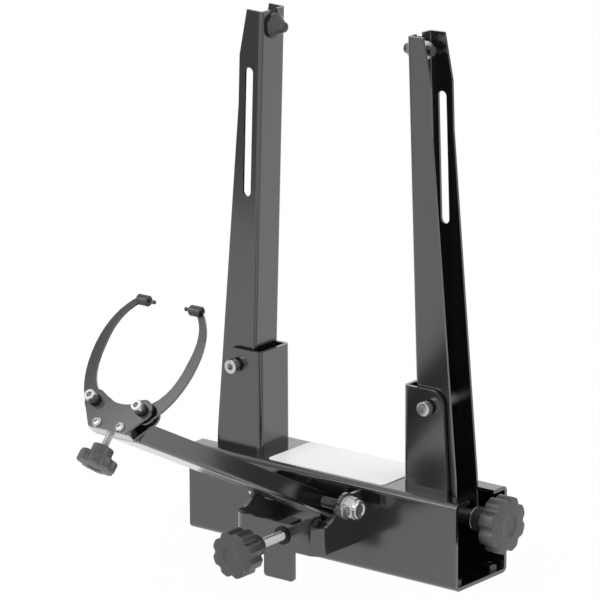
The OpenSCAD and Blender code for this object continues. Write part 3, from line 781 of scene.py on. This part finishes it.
class STAND_OT_feelers(bpy.types.Operator):
    """Make the two feelers at the jaws' tips, with their small contact pins"""

    bl_idname = "stand.feelers"
    bl_label = "Feelers"

    def execute(self, context):
        pin, tip, pin_length = 1.25, 1.6, 5.6
        for side, way in (("left", 1), ("right", -1)):
            node = "feeler_" + side
            low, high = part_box(node)
            middle = (low + high) / 2
            outer = (low.x if way > 0 else high.x, middle.y, middle.z)
            radius = (high.z - low.z) / 2 / MM
            length = (high.x - low.x) / MM
            body = length - pin_length
            groove = 0.26 * body
            rows = [
                (1.0, 0.2),
                (1.0, radius * 0.6),
                (0.0, radius * 0.68),
                (0.0, radius - 0.4),
                (0.4, radius),
                (groove, radius),
                (groove + 0.3, radius - 0.3),
                (groove + 0.6, radius),
                (body - 1.2, radius),
                (body, radius - 1.0),
                (body, pin),
                (length - 2.3, pin),
                (length - 2.1, tip),
                (length - 0.9, tip),
                (length - 0.2, 1.1),
                (length, 0.5),
            ]
            piece = new_piece(node + "_turned", [turned(outer, (way, 0, 0), rows, segments=64)])
            stand_for(piece, node, "jaw_" + side)
        return {"FINISHED"}


# ---------------------------------------------------------------- painted and plated pieces


class STAND_OT_painted(bpy.types.Operator):
    """Paint the base, supports, uprights, yoke, arm and calliper"""

    bl_idname = "stand.painted"
    bl_label = "Painted pieces"

    def execute(self, context):
        coat(name for name, slot in SLOT_OF.items() if slot in PAINTED_SLOTS)
        return {"FINISHED"}


class STAND_OT_hardware(bpy.types.Operator):
    """Plate and blacken the bolts, nuts, bushes, springs and cones"""

    bl_idname = "stand.hardware"
    bl_label = "Hardware"

    def execute(self, context):
        coat(name for name, slot in SLOT_OF.items() if slot not in PAINTED_SLOTS)
        return {"FINISHED"}


# ---------------------------------------------------------------- stage


WHITE = (1.0, 1.0, 1.0, 1.0)
# Corner, two edges and glow of each grey card that the paint and the plated pieces reflect.
DARK_CARDS = (
    ((-0.36, -0.50, 0.10), (-1.3, -0.35, 0.0), (0.0, 0.0, 0.85), 0.30),
    ((1.10, 0.35, 0.05), (0.25, 1.3, 0.0), (0.0, 0.0, 0.9), 0.25),
)
# Name, place, width and share of the key light's power.
LIGHTS = (
    ("key_light", (-1.1, -2.0, 1.7), 1.6, 1.0),
    ("side_light", (2.2, 0.6, 1.2), 1.4, 0.45),
)


def white_stage_material():
    """A white floor that shows as plain white, with a trace of the object's shadow."""
    white = Finish("white_floor", Roughness=0.9, Specular_IOR_Level=0.1)
    white.shader.inputs["Base Color"].default_value = (0.9, 0.9, 0.9, 1.0)
    glow = white.node("ShaderNodeEmission", {}, {"Color": WHITE, "Strength": 1.0})
    path = white.node("ShaderNodeLightPath")
    seen = Signal(white, path.outputs["Is Camera Ray"])
    shone = Signal(white, path.outputs["Is Glossy Ray"])
    passed = Signal(white, path.outputs["Is Transmission Ray"])
    share = ((seen + shone + passed) * 0.98).clamped()
    mix = white.node("ShaderNodeMixShader", {}, {"Fac": share})
    white.feed(mix.inputs[1], white.shader.outputs[0])
    white.feed(mix.inputs[2], glow.outputs[0])
    white.feed(white.tree.nodes["Material Output"].inputs["Surface"], mix.outputs[0])
    return white.material


def room_light(level):
    """White to the camera and in reflections, and an even level of light on everything."""
    world = bpy.data.worlds.new("white_room")
    world.use_nodes = True
    tree = world.node_tree
    lit = tree.nodes["Background"]
    lit.inputs["Color"].default_value = WHITE
    lit.inputs["Strength"].default_value = level
    seen = tree.nodes.new("ShaderNodeBackground")
    seen.inputs["Color"].default_value = WHITE
    seen.inputs["Strength"].default_value = 1.0
    path = tree.nodes.new("ShaderNodeLightPath")
    either = tree.nodes.new("ShaderNodeMath")
    either.operation = "MAXIMUM"
    tree.links.new(path.outputs["Is Camera Ray"], either.inputs[0])
    tree.links.new(path.outputs["Is Glossy Ray"], either.inputs[1])
    mix = tree.nodes.new("ShaderNodeMixShader")
    tree.links.new(either.outputs[0], mix.inputs["Fac"])
    tree.links.new(lit.outputs[0], mix.inputs[1])
    tree.links.new(seen.outputs[0], mix.inputs[2])
    tree.links.new(mix.outputs[0], tree.nodes["World Output"].inputs["Surface"])
    bpy.context.scene.world = world


def soft_light(name, place, target, size, power):
    """A square area light that faces a point."""
    light = bpy.data.lights.new(name, "AREA")
    light.energy = power
    light.size = size
    lamp = bpy.data.objects.new(name, light)
    lamp.location = place
    lamp.rotation_euler = (Vector(target) - Vector(place)).to_track_quat("-Z", "Y").to_euler()
    bpy.context.scene.collection.objects.link(lamp)


def dark_card(name, corner, across, upward, level):
    """A grey card beside the object that shows only in reflections."""
    corner, across, upward = Vector(corner), Vector(across), Vector(upward)
    points = [corner, corner + across, corner + across + upward, corner + upward]
    card = new_piece(name, [(points, [(0, 1, 2, 3)])])
    grey = Finish(name + "_grey", Roughness=1.0)
    glow = grey.node("ShaderNodeEmission", {}, {"Color": WHITE, "Strength": level})
    grey.feed(grey.tree.nodes["Material Output"].inputs["Surface"], glow.outputs[0])
    card.data.materials.append(grey.material)
    card.visible_camera = False
    card.visible_diffuse = False
    card.visible_shadow = False


class STAND_OT_stage(bpy.types.Operator):
    """Make the white floor, the lights and the camera"""

    bl_idname = "stand.stage"
    bl_label = "Stage"

    def execute(self, context):
        view = context.scene.stand_view
        half = 6.0
        level = -0.2 * MM
        ways = ((-1, -1), (1, -1), (1, 1), (-1, 1))
        corners = [(x * half, y * half, level) for x, y in ways]
        floor = new_piece("floor", [(corners, [(0, 1, 2, 3)])])
        floor.data.materials.append(white_stage_material())
        for number, card in enumerate(DARK_CARDS):
            dark_card(f"dark_card_{number}", *card)
        room_light(view.room)
        middle = (0.0, -0.05, 0.2)
        for name, place, size, share in LIGHTS:
            soft_light(name, place, middle, size, view.key * share)
        camera = bpy.data.cameras.new("camera")
        camera.sensor_width = 36.0
        camera.lens = view.lens
        camera.clip_start = 0.1
        camera.clip_end = 40.0
        holder = bpy.data.objects.new("camera", camera)
        holder.location = view.place
        sight = (Vector(view.target) - Vector(view.place)).to_track_quat("-Z", "Y")
        holder.rotation_euler = (sight @ Euler((0, 0, view.roll)).to_quaternion()).to_euler()
        context.scene.collection.objects.link(holder)
        context.scene.camera = holder
        context.scene.view_settings.view_transform = "Standard"
        return {"FINISHED"}


# ---------------------------------------------------------------- panel and run


OPERATORS = (
    STAND_OT_stage,
    STAND_OT_painted,
    STAND_OT_hardware,
    STAND_OT_knobs,
    STAND_OT_screws,
    STAND_OT_pivot_bolts,
    STAND_OT_spindle_end,
    STAND_OT_bench_nuts,
    STAND_OT_jaw_bolts,
    STAND_OT_arm_bolt,
    STAND_OT_feelers,
)
GROUPS = (
    ("stand_knobs", StandKnobs),
    ("stand_finish", StandFinish),
    ("stand_view", StandView),
)


class STAND_PT_panel(bpy.types.Panel):
    """The stand's settings and makers in the 3D view's sidebar"""

    bl_idname = "STAND_PT_panel"
    bl_label = "Truing stand"
    bl_space_type = "VIEW_3D"
    bl_region_type = "UI"
    bl_category = "Truing stand"

    def draw(self, context):
        for name, group in GROUPS:
            column = self.layout.box().column()
            for field in group.__annotations__:
                column.prop(getattr(context.scene, name), field)
        for operator in OPERATORS:
            self.layout.operator(operator.bl_idname)


def register():
    for name, group in GROUPS:
        bpy.utils.register_class(group)
        setattr(bpy.types.Scene, name, bpy.props.PointerProperty(type=group))
    for item in (*OPERATORS, STAND_PT_panel):
        bpy.utils.register_class(item)


def unregister():
    for item in (STAND_PT_panel, *reversed(OPERATORS)):
        bpy.utils.unregister_class(item)
    for name, group in reversed(GROUPS):
        delattr(bpy.types.Scene, name)
        bpy.utils.unregister_class(group)


def main():
    register()
    for operator in OPERATORS:
        section, name = operator.bl_idname.split(".")
        getattr(getattr(bpy.ops, section), name)()


if __name__ == "__main__":
    main()
